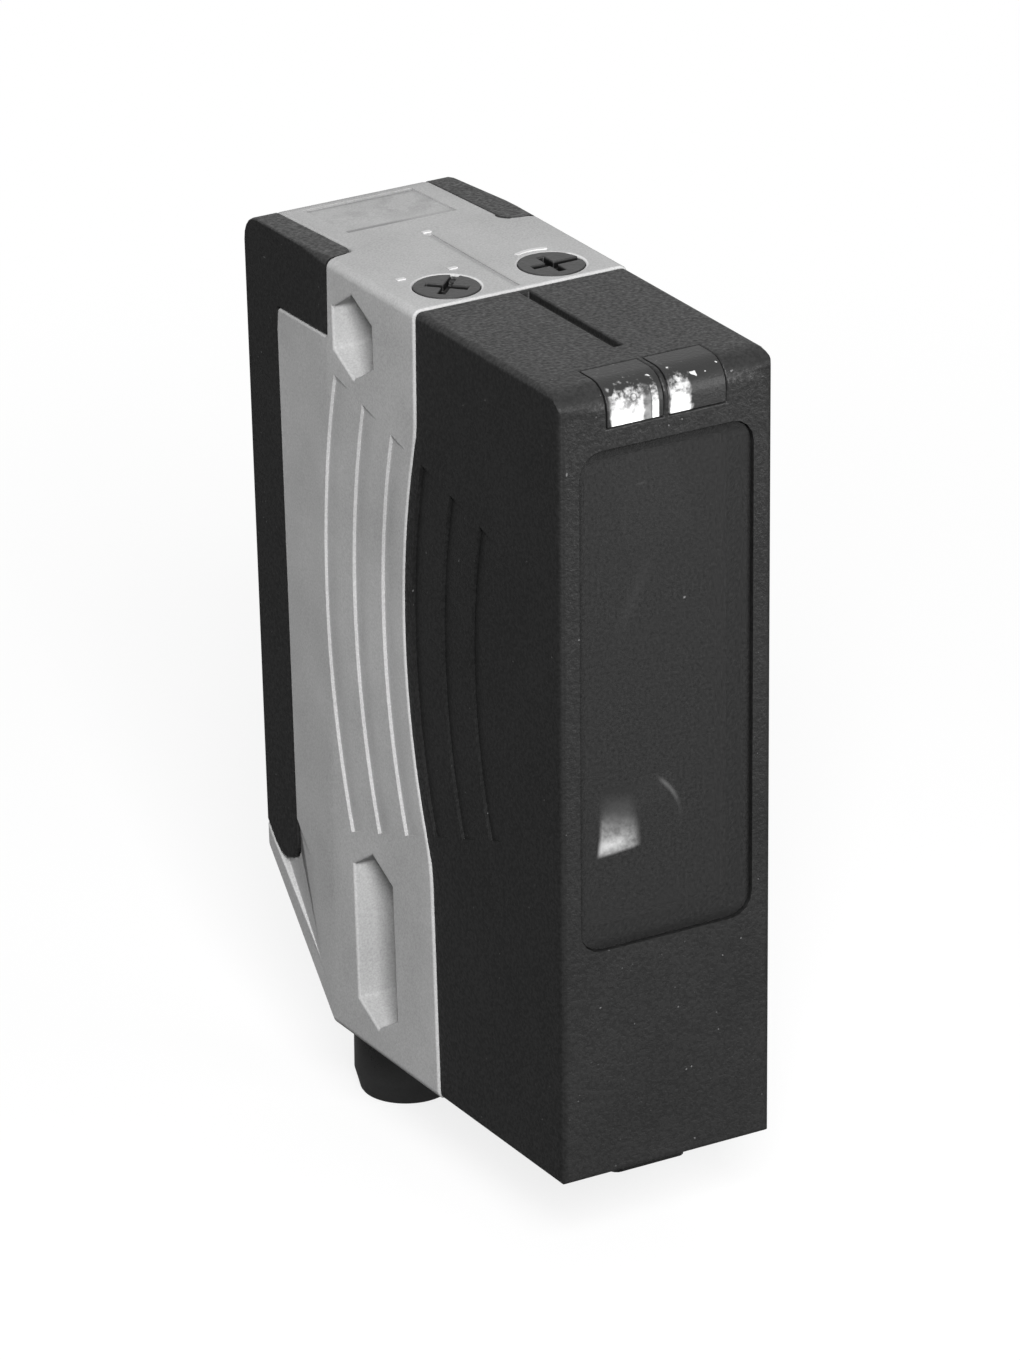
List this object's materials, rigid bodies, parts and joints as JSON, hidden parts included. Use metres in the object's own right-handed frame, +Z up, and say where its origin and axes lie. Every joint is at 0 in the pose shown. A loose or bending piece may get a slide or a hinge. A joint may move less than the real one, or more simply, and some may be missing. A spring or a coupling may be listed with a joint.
{
  "type": "diffuse photoelectric sensor",
  "caption": "Block-shaped diffuse photoelectric sensor: black front with dark window and clear indicators, grey grip-ribbed middle, black rear cover, turning plug outlet.",
  "frame": {"origin": "middle of the upper mounting hole, on the middle plane", "axes": "+X to the right seen from the front, along the mounting holes; -Y the way the sensor looks; +Z up"},
  "size_m": [0.0258, 0.0653, 0.1014],
  "materials": {
    "frame_grey": "light grey, satin, lightly textured",
    "housing_black": "black, fine moulded texture",
    "window_filter": "dark filter pane, polished",
    "clear_plastic": "clear moulded plastic, polished",
    "holder_black": "black, matt inside",
    "board_green": "green circuit board",
    "component_black": "black moulded component",
    "component_ivory": "ivory moulded component",
    "component_blue": "blue moulded component",
    "led_green": "tinted LED",
    "led_amber": "tinted LED",
    "seal_rubber": "matt black rubber",
    "lead_jacket": "matt dark insulation",
    "screw_steel": "plated steel",
    "contact_brass": "gold-plated contacts"
  },
  "bodies": {
    "case": {"middle_frame": "frame_grey", "front_housing": "housing_black", "rear_cover": "housing_black", "front_window": "window_filter", "power_window": "clear_plastic", "switching_window": "clear_plastic", "light_guides": "clear_plastic", "lens_holder": "holder_black", "emitter_lens": "clear_plastic", "receiver_lens": "clear_plastic", "emitter_led": "clear_plastic", "receiver_photodiode": "component_black", "power_led": "led_green", "switching_led": "led_amber", "optics_board": "board_green", "main_board": "board_green", "board_link": "component_black", "controller_chip": "component_black", "board_plug": "component_ivory", "connector_leads": "lead_jacket", "adjuster_board": "board_green", "sensitivity_potentiometer": "component_blue", "mode_switch": "component_black", "front_gasket": "seal_rubber", "rear_gasket": "seal_rubber", "case_screws": "screw_steel"},
    "sensitivity_knob": {"sensitivity_adjuster": "housing_black", "adjuster_seal": "seal_rubber"},
    "selector_knob": {"light_dark_selector": "housing_black", "selector_seal": "seal_rubber"},
    "plug_turret": {"connector_turret": "housing_black", "turret_seal": "seal_rubber", "turret_ring": "screw_steel", "contact_carrier": "component_black", "contact_pins": "contact_brass"}
  },
  "joints": [
    {"name": "sensitivity_turn", "type": "hinge", "parent": "case", "child": "sensitivity_knob", "pos_m": [-0.0063, -0.0082, 0.007], "axis": [0, 0, 1], "range_deg": [-264, 6]},
    {"name": "selector_turn", "type": "hinge", "parent": "case", "child": "selector_knob", "pos_m": [0.0063, -0.0082, 0.007], "axis": [0, 0, 1], "range_deg": [0, 90]},
    {"name": "outlet_swivel", "type": "hinge", "parent": "case", "child": "plug_turret", "pos_m": [0, 0.013, -0.0738], "axis": [0, 0.7071, -0.7071], "range_deg": [0, 180]}
  ]
}
